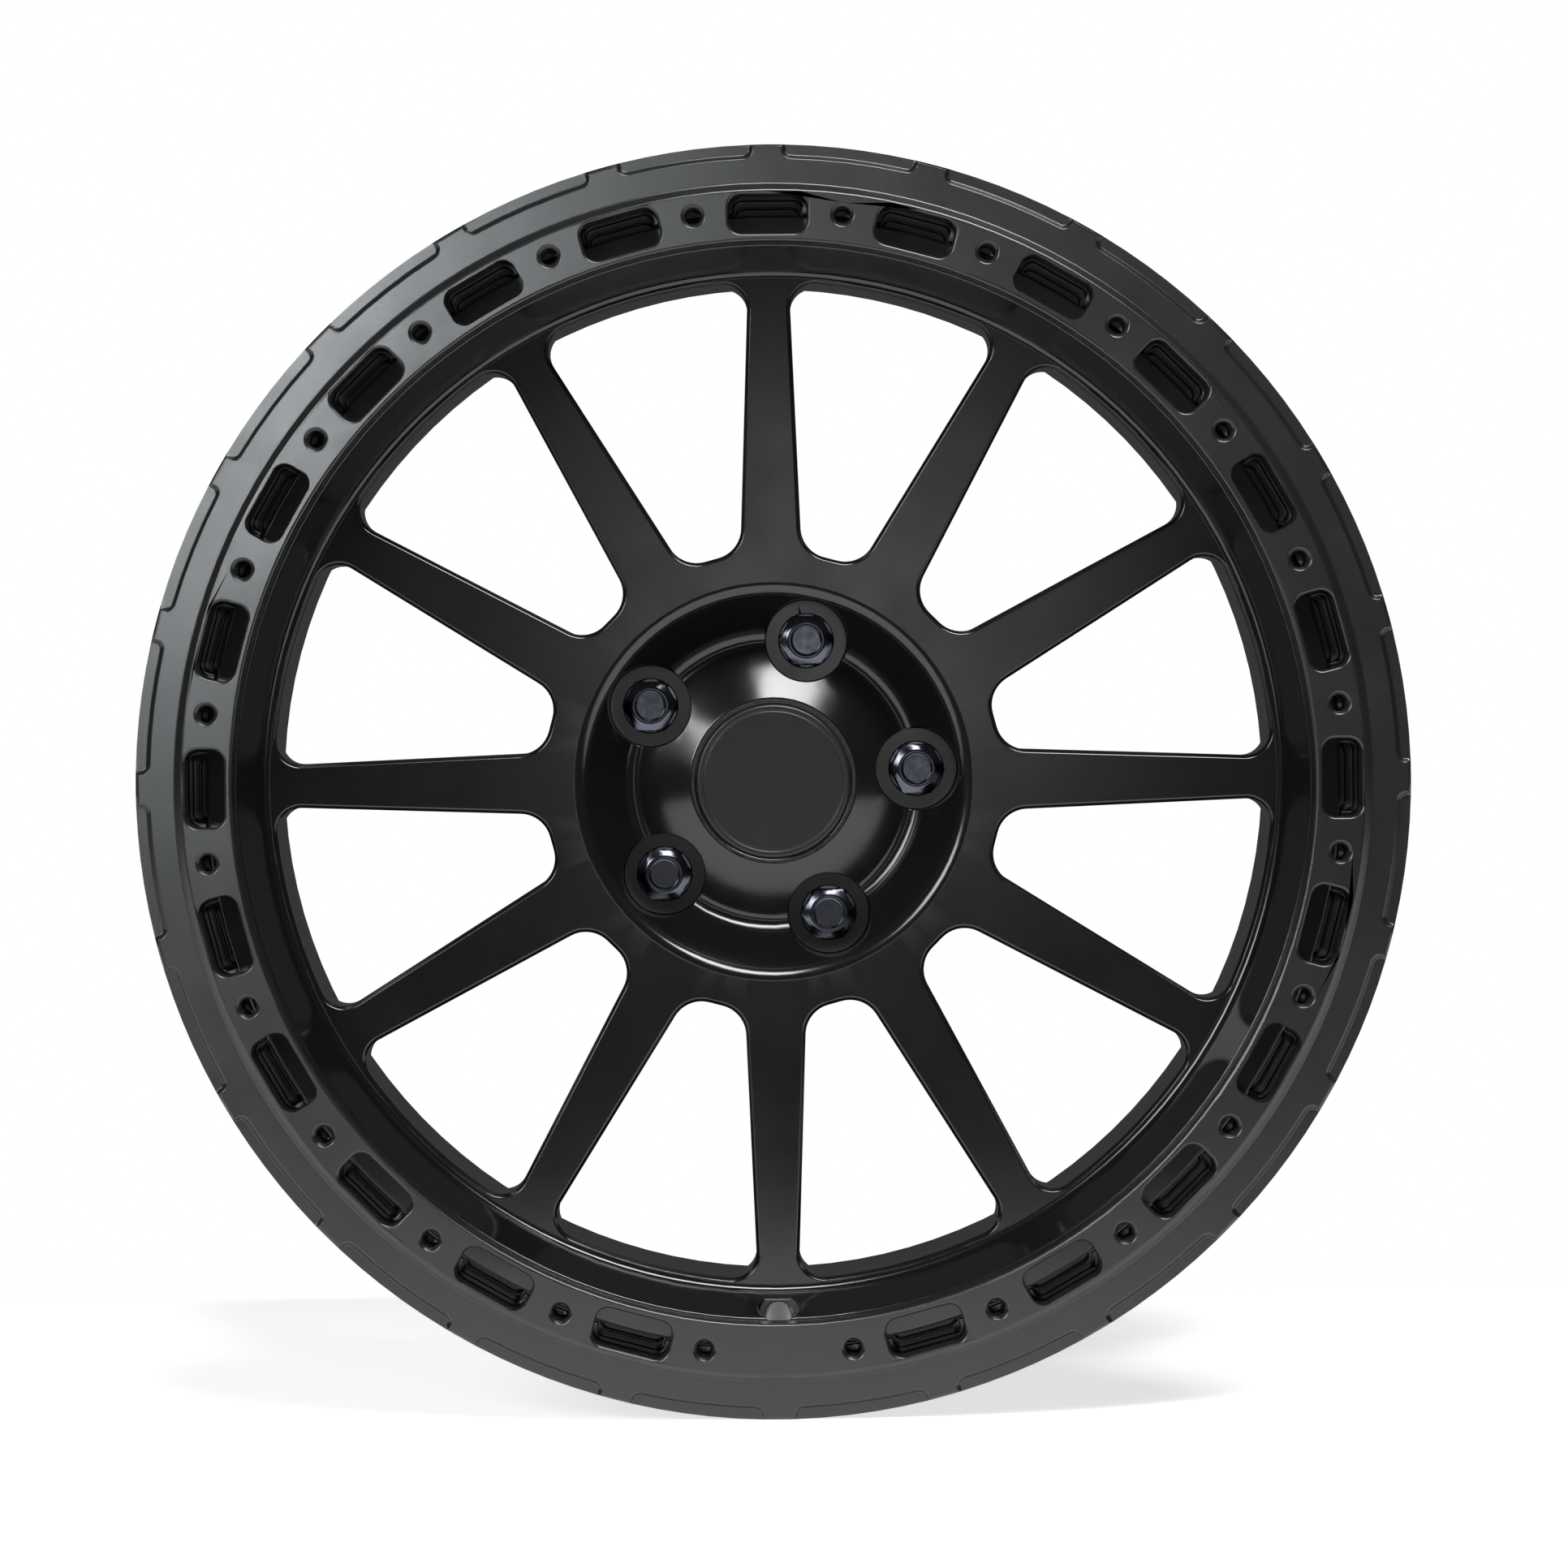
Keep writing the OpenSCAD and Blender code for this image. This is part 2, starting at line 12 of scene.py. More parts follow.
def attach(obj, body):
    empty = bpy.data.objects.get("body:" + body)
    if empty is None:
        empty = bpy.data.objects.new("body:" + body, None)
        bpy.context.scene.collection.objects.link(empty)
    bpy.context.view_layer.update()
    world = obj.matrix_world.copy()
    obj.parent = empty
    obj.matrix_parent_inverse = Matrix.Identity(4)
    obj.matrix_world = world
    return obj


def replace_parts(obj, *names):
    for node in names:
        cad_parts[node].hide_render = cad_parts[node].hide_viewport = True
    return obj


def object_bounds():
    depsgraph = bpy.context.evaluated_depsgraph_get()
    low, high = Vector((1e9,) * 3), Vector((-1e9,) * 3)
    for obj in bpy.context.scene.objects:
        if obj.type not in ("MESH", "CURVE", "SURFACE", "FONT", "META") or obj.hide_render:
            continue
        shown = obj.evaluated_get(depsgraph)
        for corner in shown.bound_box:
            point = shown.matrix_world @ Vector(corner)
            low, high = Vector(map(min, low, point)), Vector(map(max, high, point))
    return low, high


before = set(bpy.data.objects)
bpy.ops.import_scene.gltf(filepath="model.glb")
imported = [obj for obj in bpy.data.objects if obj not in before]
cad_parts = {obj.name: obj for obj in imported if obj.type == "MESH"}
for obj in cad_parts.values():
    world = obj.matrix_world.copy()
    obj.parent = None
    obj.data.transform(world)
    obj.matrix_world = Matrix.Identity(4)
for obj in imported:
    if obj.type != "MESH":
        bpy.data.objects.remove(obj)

CAD_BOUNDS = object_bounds()

bl_info = {
    "name": "Beadlock wheel",
    "version": (1, 0, 0),
    "blender": (4, 5, 0),
    "location": "View3D > Sidebar > Wheel",
    "description": "Dresses the solids of a beadlock wheel and sets its studio",
    "category": "Object",
}

MM = 0.001
JOIN = 0.01 * MM
MEET = 0.001 * MM
ON_PLANE = 0.005 * MM
SHARP = math.radians(28)
AXIS_CUTS = 24
SHARP_ON_BOLT = math.radians(24)
RING_LIT = "lit_by_side_softbox"

# The photo's width, and how far the wheel's centre lies right of and below its middle, in pixels
PHOTO_SIDE = 1932
CENTRE_RIGHT, CENTRE_BELOW = -13.1, -0.9


class WheelFinish(bpy.types.PropertyGroup):
    """Powder coat on the rim and the clamp ring."""

    rim_colour: FloatVectorProperty(
        name="Rim colour", description="Colour of the powder coat on the rim",
        subtype="COLOR", size=3, min=0, max=1, default=(0.0042, 0.0042, 0.0044))
    ring_colour: FloatVectorProperty(
        name="Ring colour", description="Colour of the powder coat on the clamp ring",
        subtype="COLOR", size=3, min=0, max=1, default=(0.0075, 0.0077, 0.0082))
    rim_roughness: FloatProperty(
        name="Rim roughness", description="Roughness of the coat on the rim",
        subtype="FACTOR", min=0, max=1, default=0.17)
    ring_roughness: FloatProperty(
        name="Ring roughness", description="Roughness of the coat on the clamp ring",
        subtype="FACTOR", min=0, max=1, default=0.26)
    grain: FloatProperty(
        name="Grain", description="Height of the coat's fine grain",
        subtype="DISTANCE", default=0.003 * MM)
    peel: FloatProperty(
        name="Orange peel", description="Height of the coat's soft waves",
        subtype="DISTANCE", default=0.002 * MM)
    cap_colour: FloatVectorProperty(
        name="Cap colour", description="Colour of the cap's plastic",
        subtype="COLOR", size=3, min=0, max=1, default=(0.0065, 0.0065, 0.007))
    bolt_colour: FloatVectorProperty(
        name="Bolt colour", description="Colour of the dark chrome on the lug bolts",
        subtype="COLOR", size=3, min=0, max=1, default=(0.075, 0.08, 0.095))


class EdgeForm(bpy.types.PropertyGroup):
    """How far edges are rounded and chamfered."""

    spoke_face_y: FloatProperty(
        name="Spoke face", description="Place of the spokes' front face along the axis",
        subtype="DISTANCE", default=-84 * MM)
    opening_chamfer: FloatProperty(
        name="Opening edge", description="Chamfer along the openings' front edges",
        subtype="DISTANCE", default=1.5 * MM)
    opening_reach: FloatProperty(
        name="Opening reach", description="Radius round the wheel's axis that holds the openings",
        subtype="DISTANCE", default=220 * MM)
    round_reach: FloatProperty(
        name="Rounding reach",
        description="Radius round the wheel's axis within which edges are rounded",
        subtype="DISTANCE", default=273.2 * MM)
    round_taper: FloatProperty(
        name="Rounding taper", description="Length over which the rounding runs out at its reach",
        subtype="DISTANCE", default=2.5 * MM)
    small_round: FloatProperty(
        name="Small edge", description="Rounding of the other sharp edges",
        subtype="DISTANCE", default=0.35 * MM)


class BoltForm(bpy.types.PropertyGroup):
    """Sizes of a lug bolt."""

    hex_w: FloatProperty(
        name="Hexagon", description="Width across the flats",
        subtype="DISTANCE", default=21.6 * MM)
    hex_h: FloatProperty(
        name="Hexagon height", description="Height of the hexagon",
        subtype="DISTANCE", default=14 * MM)
    face_d: FloatProperty(
        name="Head face", description="Diameter of the flat on top of the head",
        subtype="DISTANCE", default=16.4 * MM)
    recess_d: FloatProperty(
        name="Recess", description="Diameter of the recess in the head",
        subtype="DISTANCE", default=12.4 * MM)
    cone_d: FloatProperty(
        name="Collar", description="Diameter of the collar and of the cone seat",
        subtype="DISTANCE", default=24.6 * MM)
    collar_t: FloatProperty(
        name="Collar thickness", description="Thickness of the collar",
        subtype="DISTANCE", default=2 * MM)
    thread_d: FloatProperty(
        name="Thread", description="Outer diameter of the thread",
        subtype="DISTANCE", default=14 * MM)
    neck_d: FloatProperty(
        name="Neck", description="Diameter of the plain neck between the cone and the thread",
        subtype="DISTANCE", default=12 * MM)
    thread_y: FloatProperty(
        name="Thread start", description="Place along the axis where the thread starts",
        subtype="DISTANCE", default=-9 * MM)
    pitch: FloatProperty(
        name="Pitch", description="Pitch of the thread",
        subtype="DISTANCE", default=1.5 * MM)
    steps: IntProperty(
        name="Steps", description="Steps round the bolt, a multiple of 12",
        min=24, default=72)


class StudioForm(bpy.types.PropertyGroup):
    """Camera and lamps."""

    distance: FloatProperty(
        name="Distance", description="Camera's distance from the ring's face",
        subtype="DISTANCE", default=2.5)
    lens: FloatProperty(
        name="Lens", description="Focal length in millimetres", unit="CAMERA", default=134.0)
    elevation: FloatProperty(
        name="Elevation", description="Height of the camera above the axis, as an angle",
        subtype="ANGLE", default=math.radians(0.9))
    roll: FloatProperty(
        name="Roll", description="Roll of the camera",
        subtype="ANGLE", default=math.radians(-0.58))
    key_power: FloatProperty(
        name="Key lamp", description="Power of the softbox at the upper left",
        unit="POWER", default=38.0)
    top_power: FloatProperty(
        name="Top lamp", description="Power of the softbox above",
        unit="POWER", default=72.0)
    side_power: FloatProperty(
        name="Side lamp", description="Power of the small softbox beside the camera",
        unit="POWER", default=16.0)
    front_power: FloatProperty(
        name="Front lamp", description="Power of the small softbox over the camera",
        unit="POWER", default=1.0)


def values(name):
    return getattr(bpy.context.scene, name)


# Materials

def new_material(name):
    """New material, with its node tree and its Principled shader."""
    material = bpy.data.materials.new(name)
    material.use_nodes = True
    tree = material.node_tree
    shader = tree.nodes["Principled BSDF"]
    return material, tree, shader


def noise(tree, scale, detail=2.0, roughness=0.5):
    """Noise over the object's own coordinates, with its scale in waves per metre."""
    place = tree.nodes.new("ShaderNodeTexCoord")
    node = tree.nodes.new("ShaderNodeTexNoise")
    node.inputs["Scale"].default_value = scale
    node.inputs["Detail"].default_value = detail
    node.inputs["Roughness"].default_value = roughness
    tree.links.new(place.outputs["Object"], node.inputs["Vector"])
    return node.outputs["Fac"]


def spread(tree, factor, low, high):
    """Maps noise from its usual range to low and high."""
    node = tree.nodes.new("ShaderNodeMapRange")
    usual_low, usual_high = 0.3, 0.7
    node.inputs["From Min"].default_value = usual_low
    node.inputs["From Max"].default_value = usual_high
    node.inputs["To Min"].default_value = low
    node.inputs["To Max"].default_value = high
    tree.links.new(factor, node.inputs["Value"])
    return node.outputs["Result"]


def tint(tree, factor, low, high):
    """Mix of two colours by a factor."""
    node = tree.nodes.new("ShaderNodeMix")
    node.data_type = "RGBA"
    node.inputs["A"].default_value = (*low, 1)
    node.inputs["B"].default_value = (*high, 1)
    tree.links.new(factor, node.inputs["Factor"])
    return node.outputs["Result"]


def bump(tree, height, distance, below=None):
    """Bump of a given height in metres, on top of another bump."""
    node = tree.nodes.new("ShaderNodeBump")
    node.inputs["Strength"].default_value = 1.0
    node.inputs["Distance"].default_value = distance
    tree.links.new(height, node.inputs["Height"])
    if below is not None:
        tree.links.new(below, node.inputs["Normal"])
    return node.outputs["Normal"]


def powder_coat(name, colour, roughness, grain, peel):
    """Satin powder coat: fine grain, soft waves, and a faint change of shade and gloss."""
    material, tree, shader = new_material(name)
    colour = np.array(colour)
    shade = tint(tree, noise(tree, scale=9.0), tuple(colour * 0.88), tuple(colour * 1.12))
    gloss = spread(tree, noise(tree, scale=35.0), roughness - 0.02, roughness + 0.02)
    waves = bump(tree, noise(tree, scale=420.0), peel)
    fine = bump(tree, noise(tree, scale=1900.0, detail=3.0), grain, below=waves)
    tree.links.new(shade, shader.inputs["Base Color"])
    tree.links.new(gloss, shader.inputs["Roughness"])
    tree.links.new(fine, shader.inputs["Normal"])
    shader.inputs["IOR"].default_value = 1.5
    return material


def moulded_plastic(name, colour):
    """Satin moulded plastic with a fine spark-eroded grain."""
    material, tree, shader = new_material(name)
    colour = np.array(colour)
    shade = tint(tree, noise(tree, scale=40.0), tuple(colour * 0.92), tuple(colour * 1.08))
    gloss = spread(tree, noise(tree, scale=90.0), 0.34, 0.38)
    grain = bump(tree, noise(tree, scale=2600.0), 0.01 * MM)
    tree.links.new(shade, shader.inputs["Base Color"])
    tree.links.new(gloss, shader.inputs["Roughness"])
    tree.links.new(grain, shader.inputs["Normal"])
    return material


def dark_chrome(name, colour):
    """Dark chrome plate: metal with small changes of gloss from handling."""
    material, tree, shader = new_material(name)
    colour = np.array(colour)
    shade = tint(tree, noise(tree, scale=60.0), tuple(colour * 0.9), tuple(colour * 1.1))
    gloss = spread(tree, noise(tree, scale=300.0), 0.14, 0.22)
    waves = bump(tree, noise(tree, scale=500.0), 0.01 * MM)
    tree.links.new(shade, shader.inputs["Base Color"])
    tree.links.new(gloss, shader.inputs["Roughness"])
    tree.links.new(waves, shader.inputs["Normal"])
    shader.inputs["Metallic"].default_value = 1.0
    return material


def drawn_wire(name):
    """Bright drawn spring wire with small changes of shade and gloss."""
    material, tree, shader = new_material(name)
    shade = tint(tree, noise(tree, scale=200.0), (0.50, 0.50, 0.51), (0.62, 0.62, 0.63))
    gloss = spread(tree, noise(tree, scale=700.0), 0.26, 0.36)
    tree.links.new(shade, shader.inputs["Base Color"])
    tree.links.new(gloss, shader.inputs["Roughness"])
    shader.inputs["Metallic"].default_value = 1.0
    return material


# Meshes

def link(name, mesh, material):
    """New object at the origin that rides on the wheel and shows one material."""
    piece = bpy.data.objects.new(name, mesh)
    bpy.context.scene.collection.objects.link(piece)
    mesh.materials.clear()
    mesh.materials.append(material)
    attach(piece, "root")
    return piece


def join_triangles(mesh):
    """Joins the corners of a mesh's loose triangles, and drops its unused UV maps."""
    form = bmesh.new()
    form.from_mesh(mesh)
    bmesh.ops.remove_doubles(form, verts=form.verts, dist=JOIN)
    form.to_mesh(mesh)
    form.free()
    for layer in list(mesh.uv_layers):
        mesh.uv_layers.remove(layer)


def make_flats_whole(mesh, cuts):
    """Makes flat faces whole between cuts through the wheel's axis, so that none has a hole.

    Only flats that face the front or the back are cut. Whatever else is flat is made whole too.
    """
    facing, same_plane = 0.99999, math.radians(0.05)
    form = bmesh.new()
    form.from_mesh(mesh)
    bmesh.ops.remove_doubles(form, verts=form.verts, dist=JOIN)
    for edge in form.edges:
        edge.seam = False
    for turn in np.arange(cuts) * math.pi / cuts:
        flats = [face for face in form.faces if abs(face.normal.y) > facing]
        rims = {edge for face in flats for edge in face.edges}
        ends = {end for edge in rims for end in edge.verts}
        cut = bmesh.ops.bisect_plane(
            form, geom=flats + list(rims) + list(ends), dist=ON_PLANE,
            plane_co=(0, 0, 0), plane_no=(math.cos(turn), 0, math.sin(turn)))
        for part in cut["geom_cut"]:
            if isinstance(part, bmesh.types.BMEdge):
                part.seam = True
    bmesh.ops.dissolve_limit(
        form, angle_limit=same_plane, verts=form.verts, edges=form.edges, delimit={"SEAM"})
    form.to_mesh(mesh)
    form.free()
    mesh.polygons.foreach_set("use_smooth", np.ones(len(mesh.polygons), bool))


def round_weights(mesh, width):
    """How far each edge can be rounded, as a share of the width: 0 on smooth edges.

    At a face's corner with the angle a, the moved edge slides a distance of width / sin(a)
    along a smooth neighbour and width / tan(a / 2) along a sharp one, and that stays under
    0.45 of the neighbour's length. The rounding runs out towards the wheel's outer edge.
    """
    form = bmesh.new()
    form.from_mesh(mesh)
    edges = values("wheel_edges")
    room_share = 0.45
    sharp = {edge for edge in form.edges if edge.calc_face_angle(0.0) > SHARP}
    weights = np.zeros(len(form.edges))
    for edge in sharp:
        room = width
        for loop in edge.link_loops:
            ahead = loop.link_loop_next
            for corner, other in ((loop, loop.link_loop_prev.edge), (ahead, ahead.edge)):
                angle = corner.calc_angle()
                if other not in sharp:
                    room = min(room, room_share * other.calc_length() * math.sin(angle))
                elif corner.is_convex:
                    shorter = min(other.calc_length(), edge.calc_length())
                    room = min(room, room_share * shorter * math.tan(angle / 2))
        outer = max(end.co.xz.length for end in edge.verts)
        left = (edges.round_reach - outer) / edges.round_taper
        weights[edge.index] = max(room, 0.0) / width * min(max(left, 0.0), 1.0)
    form.free()
    return weights


def soften(piece, width, segments=3):
    """Rounds the sharp edges of a piece, and lets its large faces set the normals beside them."""
    mesh = piece.data
    layer = mesh.attributes.new("bevel_weight_edge", "FLOAT", "EDGE")
    layer.data.foreach_set("value", round_weights(mesh, width).astype(np.float32))
    mesh.set_sharp_from_angle(angle=SHARP)
    bevel = piece.modifiers.new("edge_round", "BEVEL")
    bevel.limit_method = "WEIGHT"
    bevel.width = width
    bevel.segments = segments
    bevel.face_strength_mode = "FSTR_ALL"
    bevel.use_clamp_overlap = False
    bevel.miter_outer = "MITER_ARC"
    even = piece.modifiers.new("even_normals", "WEIGHTED_NORMAL")
    even.keep_sharp = True
    even.use_face_influence = True
    even.weight = 100


def opening_outlines(mesh):
    """Outlines of the openings in the spokes' front face, each an array of (x, z) in order."""
    edges = values("wheel_edges")
    form = bmesh.new()
    form.from_mesh(mesh)
    beside = {}
    for edge in form.edges:
        if edge.calc_face_angle(0.0) < SHARP:
            continue
        ends = edge.verts
        if all(abs(end.co.y - edges.spoke_face_y) < JOIN
               and end.co.xz.length < edges.opening_reach for end in ends):
            for end, other in (ends, reversed(ends)):
                beside.setdefault(end, []).append(other)
    outlines = []
    while beside:
        start = end = next(iter(beside))
        chain = []
        while end in beside:
            chain.append((end.co.x, end.co.z))
            following = [other for other in beside.pop(end) if other in beside]
            end = following[0] if following else start
        outlines.append(np.array(chain))
    form.free()
    return outlines


def chamfer_cutter(outlines):
    """Frustums that widen towards the front, one over each outline.

    A corner moves by (a + b) / (1 + a . b), with a and b the outward normals of its two edges,
    times the distance that the edges are to move.
    """
    edges = values("wheel_edges")
    inside, above = 0.2 * MM, 0.05 * MM
    points, faces = [], []
    for outline in outlines:
        ahead = np.roll(outline, -1, axis=0) - outline
        turn = np.sum(outline[:, 0] * ahead[:, 1] - outline[:, 1] * ahead[:, 0])
        out = np.sign(turn) * np.stack([ahead[:, 1], -ahead[:, 0]], axis=1)
        out /= np.linalg.norm(out, axis=1, keepdims=True)
        before = np.roll(out, 1, axis=0)
        corner = (out + before) / (1 + np.sum(out * before, axis=1, keepdims=True))
        count, first = len(outline), len(points)
        for move, y in ((-inside, edges.spoke_face_y + edges.opening_chamfer + inside),
                        (edges.opening_chamfer + above, edges.spoke_face_y - above)):
            ring = outline + corner * move
            points.extend(zip(ring[:, 0], np.full(count, y), ring[:, 1]))
        low = np.arange(count)
        high = low + count
        sides = np.stack([low, np.roll(low, -1), np.roll(high, -1), high], axis=1) + first
        faces += sides.tolist() + [(low + first).tolist(), (high + first).tolist()]
    mesh = bpy.data.meshes.new("opening_chamfers")
    mesh.from_pydata(points, [], faces)
    form = bmesh.new()
    form.from_mesh(mesh)
    bmesh.ops.recalc_face_normals(form, faces=form.faces)
    form.to_mesh(mesh)
    form.free()
    return mesh


def cut_away(mesh, cutter):
    """The mesh with the cutter's volume taken away."""
    scene = bpy.context.scene
    pieces = [bpy.data.objects.new(part.name, part) for part in (mesh, cutter)]
    for piece in pieces:
        scene.collection.objects.link(piece)
    cut = pieces[0].modifiers.new("cut", "BOOLEAN")
    cut.operation = "DIFFERENCE"
    cut.solver = "EXACT"
    cut.object = pieces[1]
    bpy.context.view_layer.update()
    evaluated = pieces[0].evaluated_get(bpy.context.evaluated_depsgraph_get())
    shape = bpy.data.meshes.new_from_object(evaluated)
    for piece in pieces:
        bpy.data.objects.remove(piece)
    return shape


def dress_node(node, material, name, cuts, chamfer=False):
    """Stands a softened copy of a CAD node in its place."""
    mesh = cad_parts[node].data.copy()
    join_triangles(mesh)
    if chamfer:
        mesh = cut_away(mesh, chamfer_cutter(opening_outlines(mesh)))
    make_flats_whole(mesh, cuts)
    piece = link(name, mesh, material)
    soften(piece, values("wheel_edges").small_round)
    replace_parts(piece, node)
    return piece


def bolt_mesh(name, centre, top, recess_depth, tip):
    """Lug bolt whose axis runs along the wheel's.

    A profile of half-width and depth is turned about the bolt's axis. Over the head the
    half-width is the smaller of a hexagon's, w / 2 / cos(angle to the nearest flat), and of a
    cone's. Over the thread the half-width rises from the root by the thread's height times a
    clipped triangle wave of (distance / pitch - turn / 2 pi), which fades out at both ends.
    """
    form = values("wheel_bolts")
    turn = np.linspace(0, 2 * np.pi, form.steps, endpoint=False)
    to_flat = np.mod(turn, np.pi / 3) - np.pi / 6
    hexagon = form.hex_w / 2 / np.cos(to_flat)
    face_r = form.face_d / 2
    slope, soft = 2.0, 0.25 * MM
    corner_r = form.hex_w / 2 / math.cos(math.pi / 6)
    chamfer = (corner_r - face_r) / slope
    seat = top + form.hex_h + form.collar_t
    thread_r = form.thread_d / 2
    seat_angle = math.radians(30)
    cone_l = (form.cone_d / 2 - thread_r) / math.tan(seat_angle)
    edge, neck_taper, tip_in = 0.5 * MM, 1.0 * MM, 1.6 * MM
    root, thread_h = 0.9 * MM, 0.85 * MM
    rings = []

    def ring(radius, depth):
        rings.append((np.broadcast_to(radius, turn.shape), np.full(turn.shape, depth)))

    recess_r = form.recess_d / 2
    for share in (0.0, 0.5, 1.0):
        ring(share * (recess_r - soft), top + recess_depth)
    ring(recess_r, top + recess_depth - soft)
    ring(recess_r, top + soft)
    ring(recess_r + 0.3 * soft, top + 0.3 * soft)
    ring(recess_r + soft, top)
    ring(face_r - soft, top)
    ring(face_r, top + 0.2 * soft)
    cone_rings, past_cone = 9, 1.04
    for depth in np.linspace(0.4 * soft, chamfer * past_cone, cone_rings):
        ring(np.minimum(hexagon, face_r + slope * depth), top + depth)
    ring(hexagon, top + form.hex_h - 0.3 * MM)
    ring(hexagon, top + form.hex_h)
    ring(form.cone_d / 2 - edge, top + form.hex_h + 0.02 * MM)
    ring(form.cone_d / 2, top + form.hex_h + edge)
    ring(form.cone_d / 2, seat)
    neck_r = form.neck_d / 2
    ring(thread_r, seat + cone_l)
    ring(neck_r, seat + cone_l + neck_taper)
    ring(neck_r, form.thread_y - 0.6 * MM)
    start = form.thread_y
    end = tip - tip_in
    rings_in_pitch = 6
    for depth in np.linspace(start, end, int((end - start) / (form.pitch / rings_in_pitch))):
        wave = np.abs(2 * np.mod((depth - start) / form.pitch - turn / (2 * np.pi), 1) - 1)
        fade = min(1, (depth - start) / form.pitch + 0.15, (end - depth) / form.pitch + 0.25)
        ring(thread_r - root + fade * thread_h * np.clip(1.25 * wave - 0.12, 0, 1), depth)
    for share in (1.0, 0.5, 0.0):
        ring(share * (thread_r - tip_in), tip)
    radius = np.array([r for r, _ in rings])
    depth = np.array([d for _, d in rings])
    x = centre[0] + radius * np.cos(turn)
    z = centre[1] + radius * np.sin(turn)
    return grid_mesh(name, np.stack([x, depth, z], axis=-1))


def grid_mesh(name, points):
    """Mesh over a grid of points, closed round its second direction, with poles merged."""
    rows, columns = points.shape[:2]
    row = np.arange(rows - 1)[:, None]
    column = np.arange(columns)[None, :]
    nearest = row * columns + column
    beside = row * columns + (column + 1) % columns
    faces = np.stack([nearest, nearest + columns, beside + columns, beside], axis=-1).reshape(-1, 4)
    mesh = bpy.data.meshes.new(name)
    mesh.from_pydata(points.reshape(-1, 3), [], faces.tolist())
    form = bmesh.new()
    form.from_mesh(mesh)
    bmesh.ops.remove_doubles(form, verts=form.verts, dist=MEET)
    bmesh.ops.recalc_face_normals(form, faces=form.faces)
    form.to_mesh(mesh)
    form.free()
    mesh.polygons.foreach_set("use_smooth", np.ones(len(mesh.polygons), bool))
    mesh.set_sharp_from_angle(angle=SHARP_ON_BOLT)
    return mesh


def islands(node):
    """Middle and depths of each separate solid of a CAD node: (x, z), front and back."""
    form = bmesh.new()
    form.from_mesh(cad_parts[node].data)
    bmesh.ops.remove_doubles(form, verts=form.verts, dist=MEET)
    left = set(form.verts)
    found = []
    while left:
        seed = left.pop()
        group, ahead = [seed], [seed]
        while ahead:
            vert = ahead.pop()
            for edge in vert.link_edges:
                other = edge.other_vert(vert)
                if other in left:
                    left.remove(other)
                    group.append(other)
                    ahead.append(other)
        place = np.array([vert.co for vert in group])
        low, high = place.min(axis=0), place.max(axis=0)
        middle = (low + high) / 2
        found.append(((middle[0], middle[2]), low[1], high[1]))
    form.free()
    return sorted(found)


# Operators

class WHEEL_OT_dress_body(bpy.types.Operator):
    """Powder coat and softened edges on the wheel body"""

    bl_idname = "wheel.dress_body"
    bl_label = "Dress the wheel body"

    def execute(self, context):
        finish = values("wheel_finish")
        coat = powder_coat(
            "rim_coat", finish.rim_colour, finish.rim_roughness, finish.grain, finish.peel)
        dress_node("wheel_body", coat, "coated_wheel_body", AXIS_CUTS, chamfer=True)
        return {"FINISHED"}


class WHEEL_OT_dress_ring(bpy.types.Operator):
    """Powder coat and softened edges on the clamp ring"""

    bl_idname = "wheel.dress_ring"
    bl_label = "Dress the clamp ring"

    def execute(self, context):
        finish = values("wheel_finish")
        coarser = 1.4
        coat = powder_coat(
            "ring_coat", finish.ring_colour, finish.ring_roughness, finish.grain * coarser, finish.peel)
        ring = dress_node("beadlock_ring", coat, "coated_clamp_ring", AXIS_CUTS)
        bpy.data.collections[RING_LIT].objects.link(ring)
        return {"FINISHED"}


class WHEEL_OT_dress_cap(bpy.types.Operator):
    """Moulded plastic on the centre cap and drawn wire on its spring ring"""

    bl_idname = "wheel.dress_cap"
    bl_label = "Dress the centre cap"

    def execute(self, context):
        finish = values("wheel_finish")
        plastic = moulded_plastic("cap_plastic", finish.cap_colour)
        dress_node("centre_cap", plastic, "moulded_centre_cap", cuts=0)
        wire = drawn_wire("spring_wire")
        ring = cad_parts["cap_spring_ring"]
        ring.data.materials.clear()
        ring.data.materials.append(wire)
        return {"FINISHED"}


class WHEEL_OT_make_bolts(bpy.types.Operator):
    """Lug bolts with coned hexagon heads and real threads"""

    bl_idname = "wheel.make_bolts"
    bl_label = "Make the lug bolts"

    def execute(self, context):
        finish = values("wheel_finish")
        chrome = dark_chrome("bolt_chrome", finish.bolt_colour)
        shallow, deep = 0.8 * MM, 9 * MM
        first = None
        for number, (centre, top, tip) in enumerate(islands("lug_bolts"), start=1):
            mesh = bolt_mesh(f"lug_bolt_{number}", centre, top, shallow, tip)
            piece = link(f"lug_bolt_{number}", mesh, chrome)
            first = first or piece
        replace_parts(first, "lug_bolts")
        centre, top, tip = islands("lock_bolt")[0]
        mesh = bolt_mesh("locking_bolt", centre, top, deep, tip)
        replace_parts(link("locking_bolt", mesh, chrome), "lock_bolt")
        return {"FINISHED"}


def add_lamp(name, place, target, size, power, colour=(1, 1, 1)):
    """Softbox at a place, turned towards a target."""
    lamp = bpy.data.lights.new(name, "AREA")
    lamp.shape = "RECTANGLE"
    lamp.size, lamp.size_y = size
    lamp.energy = power
    lamp.color = colour
    holder = bpy.data.objects.new(name, lamp)
    bpy.context.scene.collection.objects.link(holder)
    holder.location = place
    holder.rotation_euler = (Vector(target) - Vector(place)).to_track_quat("-Z", "Y").to_euler()
    return holder


